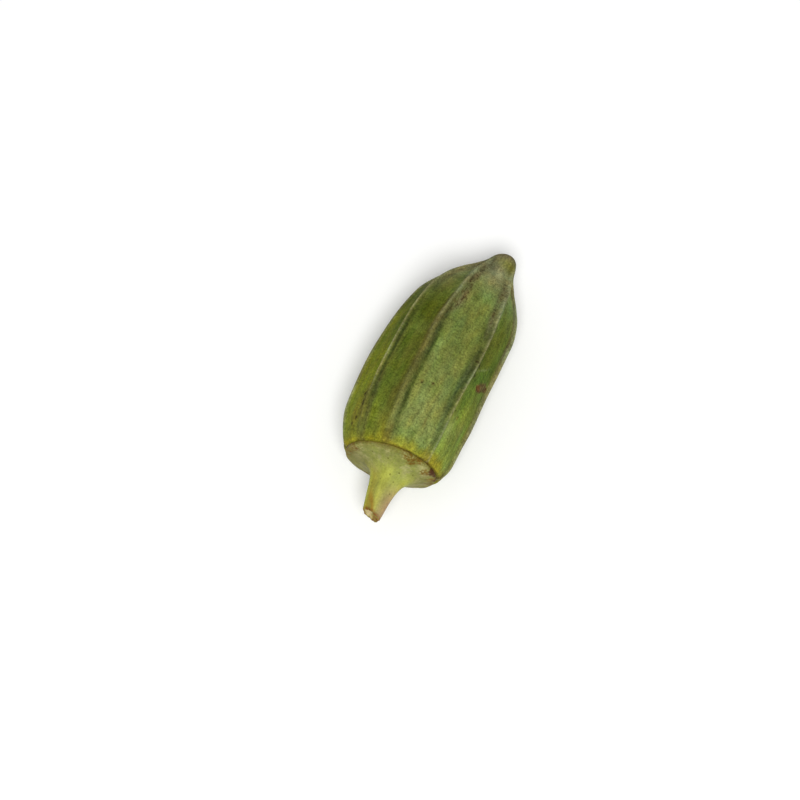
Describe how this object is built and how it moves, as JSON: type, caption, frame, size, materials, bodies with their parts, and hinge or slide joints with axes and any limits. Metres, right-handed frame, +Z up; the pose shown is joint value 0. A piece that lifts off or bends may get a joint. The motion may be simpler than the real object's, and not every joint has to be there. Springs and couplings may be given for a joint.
{
  "type": "okra pod",
  "caption": "Plump fresh okra pod lying on its side: a ribbed green pod with a blunt beak, and its pale cap and short cut stem.",
  "frame": {"origin": "bottom centre of the bounding box of the pod lying on its side, on the surface it lies on", "axes": "+X from the cut stem towards the beak, +Z up, away from the surface it lies on; the pod's middle bows gently towards +Y"},
  "size_m": [0.0912, 0.037, 0.0346],
  "materials": {
    "pod_skin": "finely downy green skin, matt, with paler ridge lines, brown creases and a yellower band at the scar ring",
    "stem_skin": "smooth pale yellow-green skin, with a brown scar line and a dried, ragged cut end"
  },
  "bodies": {
    "root": {"pod": "pod_skin", "stem": "stem_skin"}
  },
  "joints": []
}
